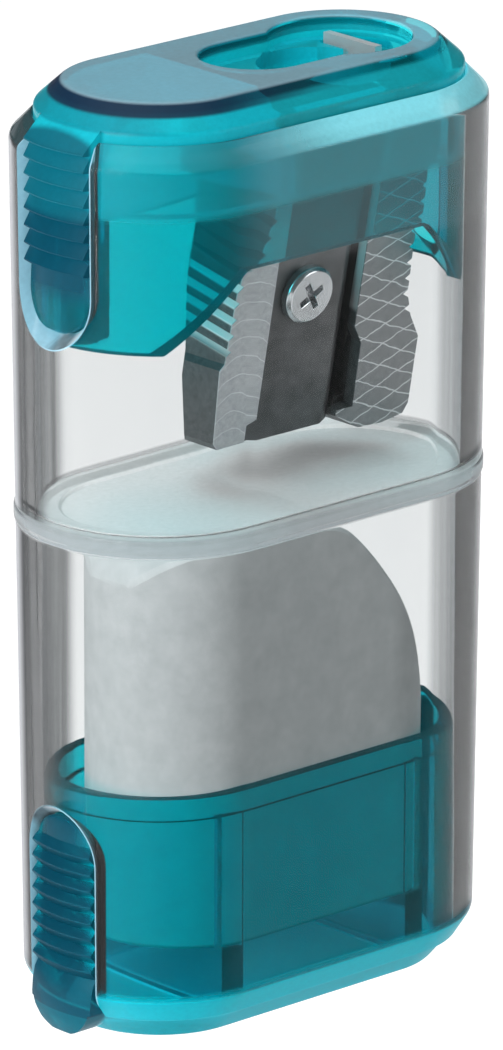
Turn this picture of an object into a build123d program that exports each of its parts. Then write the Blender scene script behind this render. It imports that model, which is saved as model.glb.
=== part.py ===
from build123d import *
import os
from math import atan2, cos, degrees, radians, sin, tan

# ---------------------------------------------------------------- overall sizes (mm)
LENGTH = 36.0                # obround body, along X
WIDTH = 19.7                 # obround body, along Y
HEIGHT = 64.7                # standing height, base face at z = 0
END_CENTRE = (LENGTH - WIDTH) / 2

# clear housing
RIM_TOP_Z = 62.3             # where the clear rim meets the cap
RIM_EDGE_Z = 60.9            # outer edge of the rim chamfer
RIM_TOP_INSET = 1.4
MOUTH_INSET = 1.55           # upper chamber, at the rim
FOOT_EDGE_Z = 3.4            # outer edge of the bottom chamfer
FOOT_EDGE_INSET = 0.69
FOOT_Z = 1.7
FOOT_LAND_INSET = 1.75
FOOT_INSET = 2.0             # lower chamber, at the foot
FLOOR_TOP_Z = 35.6           # partition between the two chambers
FLOOR_THICK = 1.2
UPPER_FLOOR_INSET = 1.75     # upper chamber, at the partition
LOWER_FLOOR_INSET = 2.1      # lower chamber, at the partition
FLOOR_DISH_INSET = 3.2       # shallow dish in the top of the partition
FLOOR_DISH_DEPTH = 0.25
BEAD_Z0, BEAD_Z1 = 34.55, 35.67
BEAD_INSET = 0.19
GATE_X, GATE_Y, GATE_R = -15.08, -6.45, 0.42

# cap
CAP_TOP_INSET = 3.5
SHOULDER_Z = 63.0
SKIRT_GAP = 0.07             # running fit of both skirts in the housing
SKIRT_THICK = 1.1
SKIRT_REACH = 3.0            # a notch tool passes this far inside the wall
SKIRT_LOW_Z = 48.1
ARCH_Z = 53.4
ARCH_HALF = 8.0
PLATE_Z = 63.3               # underside of the thin top plate
KEY_X, KEY_R = 7.9, 4.85     # round end of the keyhole pocket
KEY_SLOT_X, KEY_SLOT_R = 0.4, 3.76
KEY_FLOOR_Z = 63.1
COLLAR_Z = 57.3
COLLAR_WALL = 1.1
COLLAR_MID_Y, COLLAR_DEPTH = -0.4, 13.6
HEAD_FRONT_Y = -6.0          # front of the pocket for the metal body
COLLAR_INSET = 3.9           # thick wall of the cap above COLLAR_Z

# grips at both ends
GRIP_HALF = 2.95
GRIP_GAP = 0.1
GRIP_ROOT_X = 17.1
GRIP_TIP_X = 17.8
CAP_GRIP_FIRST_Z = 61.6
CAP_GRIP_PITCH = 1.17
CAP_GRIP_RIBS = 8
CAP_GRIP_END_Z = 48.95
NOTCH_BEVEL = 30.0
NOTCH_INNER_X = 16.4
NOTCH_DEPTH = 1.9            # through the end wall, past its outer skin
GRIP_INNER_X = 15.2          # grips are rooted this far inside the skirts
GRIP_CUT_X = END_CENTRE + 4  # the trimming tools start here
GRIP_UNDERCUT = 0.12         # height of a rib's lower flank
HOLDER_GRIP_ROOT_X = 16.9
HOLDER_GRIP_TIP_X = 17.4
HOLDER_GRIP_TOP_Z = 15.4
HOLDER_GRIP_FIRST_Z = 13.1
HOLDER_GRIP_PITCH = 1.147
HOLDER_GRIP_RIBS = 8
BULB_Z = 3.0                 # centre of the round lower end

# eraser and its holder
HOLDER_TOP_Z = 17.3
HOLDER_BAND_Z = 15.5
HOLDER_BAND = 0.25           # the wall below the rim band is thicker by this
HOLDER_BASE_INSET = 3.48
HOLDER_FLOOR = 1.6
ERASER_LENGTH = 25.6
ERASER_WIDTH = 12.6
ERASER_Z0, ERASER_Z1 = 6.0, 33.7
ERASER_CORNER = 4.0          # left top corner
ERASER_GAP = 0.1
RIB_X, RIB_WIDTH, RIB_SPAN = 8.1, 1.6, 13.4

# pencil sharpener
PENCIL_X = 5.8
PENCIL_R = 4.0
TOP_Z = 61.5                 # pencil mouth of the metal body
TIP_Z = 39.3
BLADE_ANGLE = 11.0           # half of the pencil cone
TIP_R = 0.75                 # cone radius at the tip end
SEAT_CUT = 0.25              # blade runs this far inside the cone
CHEEK = 1.0                  # cheeks stand this far above the blade seat
BODY_BACK_Y = 5.2
BODY_MID_X = 3.9
HEAD_HALF = 6.8
BODY_X0, BODY_X1 = -5.0, 12.6
BODY_LOW_Z = 38.7
WEDGE_Z0, WEDGE_Z1 = 30.0, 70.0    # the wedge shape is cut between these heights
FLANK_Y = 1.3                # back edge of the side faces
BLADE_X0, BLADE_X1 = -1.5, 5.8
BLADE_THICK = 0.6
BLADE_GAP = 0.05             # between the blade and its recess
EDGE_FLAT = 0.08             # left by grinding on the cutting edge
GRIND_WIDTH = 1.0
BLADE_Z0, BLADE_Z1 = 38.7, 60.9
THROAT_X1, THROAT_X2 = 7.3, 6.4    # right edge of the throat, low down and high up
THROAT_Z0, THROAT_Z1 = 39.6, 45.6
THROAT_TOP_Z, THROAT_DEPTH = 55.0, 2.6
THROAT_RIM = 0.1             # ledge between the recess and the throat
SERRATIONS, SERRATION_Z, SERRATION_PITCH = 9, 46.0, 1.15
SERRATION_DEPTH, SERRATION_HALF = 0.4, 0.45
SCREW_X, SCREW_Z = 1.55, 49.0
SCREW_R = 0.8
SCREW_HEAD_R = 2.05
SCREW_HEAD = 0.8
SHANK_LENGTH, SHANK_GAP = 3.4, 0.06
SCREW_HOLE_DEPTH = 3.2
BLADE_HOLE_GAP = 0.15
CROSS_LENGTH, CROSS_WIDTH, CROSS_DEPTH = 2.1, 0.5, 0.7
LUG_X, LUG_Y = 10.3, 1.3     # locating lug that shows in the keyhole
LUG_THICK, LUG_WIDTH = 0.6, 5.1
LUG_TOP_Z = 63.7

SLOPE = tan(radians(BLADE_ANGLE))
TILT_C, TILT_S = cos(radians(BLADE_ANGLE)), sin(radians(BLADE_ANGLE))
CONE_TOP_Z = TIP_Z + (PENCIL_R - TIP_R) / SLOPE
BELOW, ABOVE = -5.0, 90.0    # clear of the object, for cutting tools
CLEAR = 20.0                 # length of a cut that runs out of the piece


def seat_y(z):
    """Y of the blade seat at height z."""
    return -(TIP_R - SEAT_CUT + SLOPE * (z - TIP_Z))


def face_plane(x, z, lift=0.0):
    """Plane on the blade seat, normal out of the face, local y up the face."""
    origin = (x, seat_y(z) - lift * TILT_C, z - lift * TILT_S)
    return Plane(origin=origin, x_dir=(1, 0, 0), z_dir=(0, -TILT_C, -TILT_S))


def stadium(z, inset):
    """Obround section of the body at height z, inset from the full outline."""
    with BuildSketch(Plane.XY.offset(z)) as section:
        SlotOverall(LENGTH - 2 * inset, WIDTH - 2 * inset)
    return section.sketch


def drafted(z0, inset0, z1, inset1):
    """Solid between two obround sections, its sides sloping evenly from one to the other."""
    slope = degrees(atan2(inset1 - inset0, z1 - z0))
    with BuildPart() as block:
        extrude(stadium(z0, inset0), amount=z1 - z0, taper=slope)
    return block.part


def wall_profile(points):
    """Closed polygon in the XZ plane."""
    with BuildSketch(Plane.XZ) as section:
        with BuildLine():
            Polyline(*points, close=True)
        make_face()
    return section.sketch


def end_outline(x, half, z_round, z_far):
    """Tongue outline across the end at x: round at z_round, open towards z_far."""
    with BuildSketch(Plane.YZ.offset(x)) as section:
        with Locations((0, z_round)):
            Circle(half)
        with Locations((0, (z_round + z_far) / 2)):
            Rectangle(2 * half, abs(z_far - z_round))
    return section.sketch


def notch_tool(x_side, half, z_round, z_far):
    """Bevelled U notch through one end wall of the housing."""
    outer = half + NOTCH_DEPTH * tan(radians(NOTCH_BEVEL))
    plane = Plane(origin=(x_side * (NOTCH_INNER_X + NOTCH_DEPTH), 0, 0), x_dir=(0, 1, 0),
                  z_dir=(-x_side, 0, 0))
    way = -x_side                # local y runs along -Z on the +X side
    with BuildPart() as tool:
        with BuildSketch(plane):
            with Locations((0, way * (z_round + z_far) / 2)):
                SlotCenterToCenter(abs(z_far - z_round), 2 * outer, rotation=90)
        extrude(amount=NOTCH_DEPTH, taper=NOTCH_BEVEL)
        with BuildSketch(plane):
            with Locations((0, way * (z_round + z_far) / 2)):
                SlotCenterToCenter(abs(z_far - z_round), 2 * half, rotation=90)
        extrude(amount=NOTCH_DEPTH + SKIRT_REACH)
    return tool.part


# ---------------------------------------------------------------- clear housing
with BuildPart() as clear_housing:
    add(drafted(FOOT_EDGE_Z, FOOT_EDGE_INSET, RIM_EDGE_Z, 0))
    add(drafted(RIM_EDGE_Z, 0, RIM_TOP_Z, RIM_TOP_INSET))
    add(drafted(FOOT_Z, FOOT_LAND_INSET, FOOT_EDGE_Z, FOOT_EDGE_INSET))
    extrude(stadium(BEAD_Z0, BEAD_INSET), amount=BEAD_Z1 - BEAD_Z0)
    # gate mark left on the bead
    with Locations((GATE_X, GATE_Y, (BEAD_Z0 + BEAD_Z1) / 2)):
        Sphere(GATE_R)
    add(drafted(FLOOR_TOP_Z, UPPER_FLOOR_INSET, RIM_TOP_Z, MOUTH_INSET), mode=Mode.SUBTRACT)
    add(drafted(FOOT_Z, FOOT_INSET, FLOOR_TOP_Z - FLOOR_THICK, LOWER_FLOOR_INSET), mode=Mode.SUBTRACT)
    extrude(stadium(FLOOR_TOP_Z - FLOOR_DISH_DEPTH, FLOOR_DISH_INSET), amount=CLEAR,
            mode=Mode.SUBTRACT)
    for side in (-1, 1):
        add(notch_tool(side, GRIP_HALF + GRIP_GAP, CAP_GRIP_END_Z + GRIP_HALF, ABOVE),
            mode=Mode.SUBTRACT)
        add(notch_tool(side, GRIP_HALF + GRIP_GAP, HOLDER_GRIP_TOP_Z - GRIP_HALF, BELOW),
            mode=Mode.SUBTRACT)

# ---------------------------------------------------------------- cap grip tongue
grip_points = [(GRIP_INNER_X, SHOULDER_Z - 0.2), (GRIP_INNER_X, HEIGHT - 1.1), (16.1, SHOULDER_Z + 0.25)]
for i in range(CAP_GRIP_RIBS):
    tip_z = CAP_GRIP_FIRST_Z - i * CAP_GRIP_PITCH
    grip_points.append((GRIP_TIP_X, tip_z))
    grip_points.append((GRIP_ROOT_X, tip_z - GRIP_UNDERCUT))
grip_points += [(GRIP_ROOT_X + 0.1, CAP_GRIP_END_Z + 2.4),
                (GRIP_ROOT_X + 0.1, CAP_GRIP_END_Z + 0.4),
                (GRIP_ROOT_X - 0.3, CAP_GRIP_END_Z), (GRIP_INNER_X, CAP_GRIP_END_Z)]

with BuildPart() as cap_grip:
    revolve(wall_profile(grip_points), axis=Axis((END_CENTRE, 0, 0), (0, 0, 1)),
            revolution_arc=360)
    extrude(end_outline(GRIP_CUT_X, GRIP_HALF, CAP_GRIP_END_Z + GRIP_HALF, ABOVE),
            amount=CLEAR, mode=Mode.INTERSECT)

# ---------------------------------------------------------------- cap
with BuildPart() as cap:
    add(drafted(SKIRT_LOW_Z, UPPER_FLOOR_INSET - 0.01, RIM_TOP_Z, MOUTH_INSET + SKIRT_GAP))
    extrude(stadium(RIM_TOP_Z, MOUTH_INSET + SKIRT_GAP), amount=SHOULDER_Z - RIM_TOP_Z)
    add(drafted(SHOULDER_Z, MOUTH_INSET + SKIRT_GAP, HEIGHT, CAP_TOP_INSET))
    # hollow under the top plate
    extrude(stadium(SKIRT_LOW_Z, MOUTH_INSET + 0.1 + SKIRT_THICK),
            amount=COLLAR_Z - SKIRT_LOW_Z, mode=Mode.SUBTRACT)
    extrude(stadium(COLLAR_Z, COLLAR_INSET), amount=PLATE_Z - COLLAR_Z, mode=Mode.SUBTRACT)
    # arched lower edge of the skirt, front and back
    arch_drop = ARCH_Z - SKIRT_LOW_Z
    arch = [(-ARCH_HALF, ARCH_Z), (ARCH_HALF, ARCH_Z),
            (ARCH_HALF + arch_drop + 1, SKIRT_LOW_Z - 1),
            (-ARCH_HALF - arch_drop - 1, SKIRT_LOW_Z - 1)]
    extrude(wall_profile(arch), amount=WIDTH, both=True, mode=Mode.SUBTRACT)
    # collar that grips the head of the metal body
    with BuildSketch(Plane.XY.offset(COLLAR_Z)) as collar:
        with Locations((BODY_MID_X, COLLAR_MID_Y)):
            Rectangle(2 * (HEAD_HALF + COLLAR_WALL), COLLAR_DEPTH)
        SlotOverall(LENGTH - 2 * MOUTH_INSET - 1, WIDTH - 2 * MOUTH_INSET - 1,
                    mode=Mode.INTERSECT)
    extrude(amount=PLATE_Z + 0.2 - COLLAR_Z)
    with BuildSketch(Plane.XY.offset(COLLAR_Z)) as head_pocket:
        with Locations((BODY_MID_X, (BODY_BACK_Y + HEAD_FRONT_Y) / 2)):
            Rectangle(2 * HEAD_HALF, BODY_BACK_Y - HEAD_FRONT_Y)
    extrude(amount=TOP_Z - COLLAR_Z, mode=Mode.SUBTRACT)
    # keyhole pocket in the top face
    with BuildSketch(Plane.XY.offset(KEY_FLOOR_Z)):
        with Locations((KEY_X, 0)):
            Circle(KEY_R)
        with Locations((KEY_SLOT_X, 0)):
            Circle(KEY_SLOT_R)
        with Locations(((KEY_X + KEY_SLOT_X) / 2, 0)):
            Rectangle(KEY_X - KEY_SLOT_X, 2 * KEY_SLOT_R)
    extrude(amount=CLEAR, mode=Mode.SUBTRACT)
    # pencil passage and the window for the locating lug
    with BuildSketch(Plane.XY.offset(TOP_Z)):
        with Locations((PENCIL_X, 0)):
            Circle(PENCIL_R)
        with Locations((LUG_X - 0.2, LUG_Y)):
            Rectangle(LUG_THICK + 0.5, LUG_WIDTH + 0.2)
    extrude(amount=KEY_FLOOR_Z - TOP_Z, mode=Mode.SUBTRACT)
    add(cap_grip.part)
    mirror(cap_grip.part, about=Plane.YZ)

# ---------------------------------------------------------------- sharpener body
HEAD_X0, HEAD_X1 = BODY_MID_X - HEAD_HALF, BODY_MID_X + HEAD_HALF
left_edge = [(BODY_X0 + 0.8, BODY_LOW_Z), (BODY_X0 + 0.4, BODY_LOW_Z + 0.5), (BODY_X0, 44.6),
             (-4.6, 45.0), (-4.4, 50.0), (-3.9, 52.0), (HEAD_X0, 55.5), (HEAD_X0, TOP_Z)]
right_edge = [(12.1, 37.9), (BODY_X1 - 0.1, 38.6), (BODY_X1 - 0.1, 43.5), (11.8, 44.7),
              (11.5, 45.2), (10.9, 47.0), (HEAD_X1 + 0.1, 50.0), (HEAD_X1, 55.5), (HEAD_X1, TOP_Z)]
bottom_edge = [(10.2, 37.6), (8.1, 37.7), (BLADE_X1 + BLADE_GAP, 39.0),
               (BLADE_X1 + BLADE_GAP, 39.1), (BLADE_X0 - BLADE_GAP, 39.1),
               (BLADE_X0 - BLADE_GAP, BODY_LOW_Z)]


def edge_x(edge, z):
    """X of one side of the body's outline at height z."""
    for (x0, z0), (x1, z1) in zip(edge, edge[1:]):
        if z0 <= z <= z1:
            return x0 + (x1 - x0) * (z - z0) / (z1 - z0)
    return edge[-1][0]


def seat_polygon(points):
    """Closed polygon on the blade seat, given as (x, height) pairs."""
    with BuildSketch(face_plane(0, TIP_Z)) as section:
        with BuildLine():
            Polyline(*[(x, (z - TIP_Z) / TILT_C) for x, z in points], close=True)
        make_face()
    return section.sketch


with BuildPart() as sharpener_body:
    extrude(wall_profile(right_edge + left_edge[::-1] + bottom_edge[::-1]), amount=WIDTH / 2, both=True)
    # keep the wedge between the sloping face and the flat back
    wedge_side = [(BODY_BACK_Y, WEDGE_Z0), (BODY_BACK_Y, WEDGE_Z1)]
    wedge_side += [(seat_y(WEDGE_Z1) - CHEEK / TILT_C, WEDGE_Z1),
                   (seat_y(WEDGE_Z0) - CHEEK / TILT_C, WEDGE_Z0)]
    with BuildSketch(Plane.YZ.offset(-CLEAR)):
        with BuildLine():
            Polyline(*wedge_side, close=True)
        make_face()
    extrude(amount=2 * CLEAR, mode=Mode.INTERSECT)
    # bevelled back corners below the collar
    bevel = BODY_BACK_Y - FLANK_Y
    for side, edge in ((-1, left_edge), (1, right_edge)):
        for z in (36.0, 43.5, 45.2, 50.0, 52.0, COLLAR_Z - 0.4):
            corner_x = edge_x(edge, max(z, 39.2)) + side * 0.4
            with BuildSketch(Plane.XY.offset(z)):
                with BuildLine():
                    Polyline((corner_x, FLANK_Y - 0.4), (corner_x, BODY_BACK_Y + 1),
                             (corner_x - side * (bevel + 1.4), BODY_BACK_Y + 1), close=True)
                make_face()
        loft(ruled=True, mode=Mode.SUBTRACT)
    # recess for the blade, open at the tip end, and the throat beside it
    recess = [(BLADE_X0 - BLADE_GAP, WEDGE_Z0), (BLADE_X1 + BLADE_GAP, WEDGE_Z0),
              (BLADE_X1 + BLADE_GAP, THROAT_Z0),
              (THROAT_X1, THROAT_Z0), (THROAT_X1 - 0.1, THROAT_Z1 - 1.3),
              (THROAT_X2, THROAT_Z1), (THROAT_X2, WEDGE_Z1), (BLADE_X0 - BLADE_GAP, WEDGE_Z1)]
    extrude(seat_polygon(recess), amount=CLEAR, mode=Mode.SUBTRACT)
    with BuildSketch(Plane.XY.offset(TIP_Z - 1)):
        with Locations((PENCIL_X, 0)):
            Circle(TIP_R - SLOPE)
    with BuildSketch(Plane.XY.offset(CONE_TOP_Z)):
        with Locations((PENCIL_X, 0)):
            Circle(PENCIL_R)
    loft(mode=Mode.SUBTRACT)
    with BuildSketch(Plane.XY.offset(CONE_TOP_Z)):
        with Locations((PENCIL_X, 0)):
            Circle(PENCIL_R)
    extrude(amount=TOP_Z - CONE_TOP_Z + 1, mode=Mode.SUBTRACT)
    # chip throat, from the blade edge to the inner cheek
    throat = [(BLADE_X1 - THROAT_RIM, THROAT_Z0 + 0.5), (THROAT_X1 - THROAT_RIM, THROAT_Z0 + 0.5),
              (THROAT_X1 - 2 * THROAT_RIM, THROAT_Z1 - 1.3), (THROAT_X2 - THROAT_RIM, THROAT_Z1),
              (THROAT_X2 - THROAT_RIM, THROAT_TOP_Z), (BLADE_X1 - THROAT_RIM, THROAT_TOP_Z)]
    extrude(seat_polygon(throat), amount=-THROAT_DEPTH, mode=Mode.SUBTRACT)
    # finger serrations on both flanks
    for side, edge in ((-1, left_edge), (1, right_edge)):
        for i in range(SERRATIONS):
            z = SERRATION_Z + SERRATION_PITCH * i
            with BuildSketch(face_plane(edge_x(edge, z), z)):
                with BuildLine():
                    Polyline((side * 0.3, SERRATION_HALF), (-side * SERRATION_DEPTH, 0),
                             (side * 0.3, -SERRATION_HALF), close=True)
                make_face()
            extrude(amount=CLEAR, both=True, mode=Mode.SUBTRACT)
    # screw hole
    with BuildSketch(face_plane(SCREW_X, SCREW_Z)):
        Circle(SCREW_R + SHANK_GAP)
    extrude(amount=-SCREW_HOLE_DEPTH, mode=Mode.SUBTRACT)
    # lug that locates the body in the keyhole
    with Locations((LUG_X, LUG_Y, TOP_Z - 0.5)):
        Box(LUG_THICK, LUG_WIDTH, LUG_TOP_Z - TOP_Z + 0.5,
            align=(Align.CENTER, Align.CENTER, Align.MIN))

# ---------------------------------------------------------------- blade
blade_mid = (BLADE_Z0 + BLADE_Z1) / 2
with BuildPart() as blade:
    with BuildSketch(face_plane((BLADE_X0 + BLADE_X1) / 2, blade_mid)):
        Rectangle(BLADE_X1 - BLADE_X0, (BLADE_Z1 - BLADE_Z0) / TILT_C)
    extrude(amount=BLADE_THICK)
    # ground bevel along the cutting edge
    with BuildSketch(Plane(origin=(BLADE_X1, seat_y(BLADE_Z0 - 2), BLADE_Z0 - 2),
                           x_dir=(1, 0, 0), z_dir=(0, -TILT_S, TILT_C))):
        with BuildLine():
            Polyline((0.1, 0.0), (0.1, -BLADE_THICK - 0.2), (-GRIND_WIDTH, -BLADE_THICK - 0.2),
                     (-GRIND_WIDTH, -BLADE_THICK), (0, -EDGE_FLAT), (0, 0), close=True)
        make_face()
    extrude(amount=BLADE_Z1 - BLADE_Z0 + 6, mode=Mode.SUBTRACT)
    with BuildSketch(face_plane(SCREW_X, SCREW_Z)):
        Circle(SCREW_R + BLADE_HOLE_GAP)
    extrude(amount=CLEAR, mode=Mode.SUBTRACT)

# ---------------------------------------------------------------- blade screw
with BuildPart() as blade_screw:
    with BuildSketch(face_plane(SCREW_X, SCREW_Z, BLADE_THICK)):
        Circle(SCREW_HEAD_R)
    extrude(amount=SCREW_HEAD)
    chamfer(blade_screw.faces().sort_by(Axis.Y)[0].edges(), 0.25)
    with BuildSketch(face_plane(SCREW_X, SCREW_Z, BLADE_THICK)):
        Circle(SCREW_R)
    extrude(amount=-SHANK_LENGTH)
    with BuildSketch(face_plane(SCREW_X, SCREW_Z, BLADE_THICK + SCREW_HEAD)):
        for turn in (30, 120):
            Rectangle(CROSS_LENGTH, CROSS_WIDTH, rotation=turn)
    extrude(amount=-CROSS_DEPTH, taper=12, mode=Mode.SUBTRACT)

# ---------------------------------------------------------------- eraser holder grip
bulge = [(GRIP_INNER_X, 0.3), (16.0, 0.1), (16.6, 0.02), (17.0, 0.25), (17.3, 1.0), (17.45, 2.0),
         (17.4, 3.2), (17.15, 4.2)]
holder_points = list(bulge)
for i in reversed(range(HOLDER_GRIP_RIBS)):
    tip_z = HOLDER_GRIP_FIRST_Z - i * HOLDER_GRIP_PITCH
    holder_points.append((HOLDER_GRIP_ROOT_X, tip_z - HOLDER_GRIP_PITCH / 2))
    holder_points.append((HOLDER_GRIP_TIP_X, tip_z))
holder_points += [(HOLDER_GRIP_ROOT_X, HOLDER_GRIP_FIRST_Z + HOLDER_GRIP_PITCH / 2),
                  (HOLDER_GRIP_ROOT_X, HOLDER_GRIP_TOP_Z - 0.5),
                  (HOLDER_GRIP_ROOT_X - 0.4, HOLDER_GRIP_TOP_Z), (GRIP_INNER_X, HOLDER_GRIP_TOP_Z)]

with BuildPart() as holder_grip:
    revolve(wall_profile(holder_points), axis=Axis((END_CENTRE, 0, 0), (0, 0, 1)),
            revolution_arc=360)
    extrude(end_outline(GRIP_CUT_X, GRIP_HALF, HOLDER_GRIP_TOP_Z - GRIP_HALF, BULB_Z),
            amount=CLEAR, mode=Mode.INTERSECT)
    split(bisect_by=Plane.YZ.offset(END_CENTRE))

with BuildPart() as holder_bulb:
    revolve(wall_profile(holder_points), axis=Axis((END_CENTRE, 0, 0), (0, 0, 1)),
            revolution_arc=360)
    extrude(end_outline(GRIP_CUT_X, GRIP_HALF, BULB_Z, HOLDER_GRIP_TOP_Z - 4),
            amount=CLEAR, mode=Mode.INTERSECT)

# ---------------------------------------------------------------- eraser holder
with BuildPart() as eraser_holder:
    add(drafted(0, HOLDER_BASE_INSET, FOOT_Z, FOOT_INSET + SKIRT_GAP))
    add(drafted(FOOT_Z, FOOT_INSET + SKIRT_GAP, HOLDER_TOP_Z, FOOT_INSET + SKIRT_GAP + 0.05))
    extrude(stadium(HOLDER_FLOOR, FOOT_INSET + SKIRT_THICK + HOLDER_BAND), amount=CLEAR,
            mode=Mode.SUBTRACT)
    extrude(stadium(HOLDER_BAND_Z, FOOT_INSET + SKIRT_THICK), amount=CLEAR,
            mode=Mode.SUBTRACT)
    for side in (-1, 1):
        # cross web under the eraser and the guide ribs beside it
        with Locations((side * RIB_X, 0, HOLDER_FLOOR - 0.2)):
            Box(RIB_WIDTH, RIB_SPAN, ERASER_Z0 - HOLDER_FLOOR + 0.2,
                align=(Align.CENTER, Align.CENTER, Align.MIN))
            Box(RIB_WIDTH, RIB_SPAN, HOLDER_BAND_Z - HOLDER_FLOOR,
                align=(Align.CENTER, Align.CENTER, Align.MIN))
    with BuildSketch(Plane.XY.offset(ERASER_Z0)):
        SlotOverall(ERASER_LENGTH + ERASER_GAP, ERASER_WIDTH + ERASER_GAP)
    extrude(amount=CLEAR, mode=Mode.SUBTRACT)
    for piece in (holder_grip.part, holder_bulb.part):
        add(piece)
        mirror(piece, about=Plane.YZ)

# ---------------------------------------------------------------- eraser
with BuildPart() as eraser:
    with BuildSketch(Plane.XY.offset(ERASER_Z0)):
        SlotOverall(ERASER_LENGTH, ERASER_WIDTH)
    extrude(amount=ERASER_Z1 - ERASER_Z0)
    # worn profile: rounded on the left, rubbed away in a long curve on the right
    half = ERASER_LENGTH / 2
    with BuildSketch(Plane.XZ) as worn:
        with BuildLine():
            Line((-half, ERASER_Z0), (half, ERASER_Z0))
            Line((half, ERASER_Z0), (half, 10.5))
            Spline((half, 10.5), (11.3, 18.3), (9.6, 23.2), (6.5, 28.6), (3.6, 32.0),
                   (-1.0, ERASER_Z1), tangents=((0, 1), (-1, 0)))
            Line((-1.0, ERASER_Z1), (ERASER_CORNER - half, ERASER_Z1))
            RadiusArc((ERASER_CORNER - half, ERASER_Z1), (-half, ERASER_Z1 - ERASER_CORNER), -ERASER_CORNER)
            Line((-half, ERASER_Z1 - ERASER_CORNER), (-half, ERASER_Z0))
        make_face()
    extrude(amount=WIDTH, both=True, mode=Mode.INTERSECT)

# ---------------------------------------------------------------- files
os.makedirs("parts", exist_ok=True)

clear_housing.part.label = "clear_housing"
export_step(clear_housing.part, "parts/clear_housing.step")
cap.part.label = "cap"
export_step(cap.part, "parts/cap.step")
sharpener_body.part.label = "sharpener_body"
export_step(sharpener_body.part, "parts/sharpener_body.step")
blade.part.label = "blade"
export_step(blade.part, "parts/blade.step")
blade_screw.part.label = "blade_screw"
export_step(blade_screw.part, "parts/blade_screw.step")
eraser_holder.part.label = "eraser_holder"
export_step(eraser_holder.part, "parts/eraser_holder.step")
eraser.part.label = "eraser"
export_step(eraser.part, "parts/eraser.step")
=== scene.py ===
import bpy, bmesh, math
from mathutils import Vector, Matrix


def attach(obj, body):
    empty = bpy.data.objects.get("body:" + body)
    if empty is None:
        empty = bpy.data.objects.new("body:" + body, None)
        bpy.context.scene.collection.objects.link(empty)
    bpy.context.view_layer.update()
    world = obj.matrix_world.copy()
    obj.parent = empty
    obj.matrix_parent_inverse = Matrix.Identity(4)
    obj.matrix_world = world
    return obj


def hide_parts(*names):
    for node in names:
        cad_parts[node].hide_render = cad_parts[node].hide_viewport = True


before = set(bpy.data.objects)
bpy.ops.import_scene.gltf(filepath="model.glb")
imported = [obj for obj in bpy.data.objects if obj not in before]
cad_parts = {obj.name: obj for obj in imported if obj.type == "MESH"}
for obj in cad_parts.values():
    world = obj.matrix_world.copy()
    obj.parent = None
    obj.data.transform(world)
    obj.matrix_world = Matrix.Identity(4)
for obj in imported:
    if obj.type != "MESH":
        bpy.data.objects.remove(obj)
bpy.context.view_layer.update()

# All lengths below are in mm, in the CAD's own frame, and are scaled by MM when a mesh is made.
MM = 0.001
LENGTH, WIDTH, TOP = 36.0, 19.7, 64.7          # obround outline in plan, and the cap's top
END = (LENGTH - WIDTH) / 2                     # centre of each round end
CASE_FOOT, FOOT_EDGE = 1.7, 3.4                # lower chamfer of the case
RIM_EDGE, CASE_RIM = 60.9, 62.3                # upper chamfer of the case
BEAD_LOW, BEAD_HIGH = 34.5, 35.75              # bead round the case, level with the partition
CAP_NOTCH_Z, HOLDER_NOTCH_Z = 51.9, 12.45      # centres of the round ends of the grip notches
NOTCH_HALF = 3.05                              # half width of a notch inside its bevel
NOTCH_FOOT, NOTCH_TOP = 16.4, 19.3             # |x| where the bevel starts, and where its tool ends
BEVEL_SLOPE = math.tan(math.radians(30))       # of the notch edges
GRIP_HALF, GRIP_ROOT = 2.95, 15.2              # half width of a grip; |x| of its root in the wall
HOLE_X, HOLE_RADIUS = 5.8, 4.0                 # pencil hole
LEAN = math.radians(11)                        # of the metal body


# ------------------------------------------------------------------ mesh helpers
def obround(half_length, radius, arc):
    """Obround plan, counter-clockwise from above, with so many steps in each round end."""
    centre = half_length - radius
    pts = []
    for side in (1, -1):
        for i in range(arc + 1):
            a = math.radians(-90 + 180 * i / arc) + (0 if side > 0 else math.pi)
            pts.append((side * centre + radius * math.cos(a), radius * math.sin(a)))
    return pts


def link(mesh, name):
    obj = bpy.data.objects.new(name, mesh)
    bpy.context.scene.collection.objects.link(obj)
    return obj


def loft(name, loops):
    """Closed solid through loops of equal length given in mm, both ends capped."""
    bm = bmesh.new()
    rings = [[bm.verts.new(Vector(p) * MM) for p in loop] for loop in loops]
    count = len(rings[0])
    for lower, upper in zip(rings, rings[1:]):
        for i in range(count):
            j = (i + 1) % count
            bm.faces.new((lower[i], lower[j], upper[j], upper[i]))
    bm.faces.new(list(reversed(rings[0])))
    bm.faces.new(rings[-1])
    bmesh.ops.recalc_face_normals(bm, faces=bm.faces)
    mesh = bpy.data.meshes.new(name)
    bm.to_mesh(mesh)
    bm.free()
    return link(mesh, name)


def rings_object(name, profile, arc):
    """Closed solid with the case's outline, inset and lifted by the profile's (inset, z).

    The profile runs round the skin."""
    return loft(name, [[(x, y, z) for x, y in obround(LENGTH / 2 - inset, WIDTH / 2 - inset, arc)]
                       for inset, z in profile])


def box(x0, x1, y0, y1, z0, z1):
    """Plain block used as a cutting or filling tool."""
    base = [(x0, y0), (x1, y0), (x1, y1), (x0, y1)]
    return loft("tool", [[(x, y, z) for x, y in base] for z in (z0, z1)])


def upright(points, z0, z1):
    """Prism of a plan outline between two heights."""
    return loft("tool", [[(x, y, z) for x, y in points] for z in (z0, z1)])


def circle(cx, cy, r, steps=48):
    turn = [2 * math.pi * i / steps for i in range(steps)]
    return [(cx + r * math.cos(a), cy + r * math.sin(a)) for a in turn]


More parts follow.
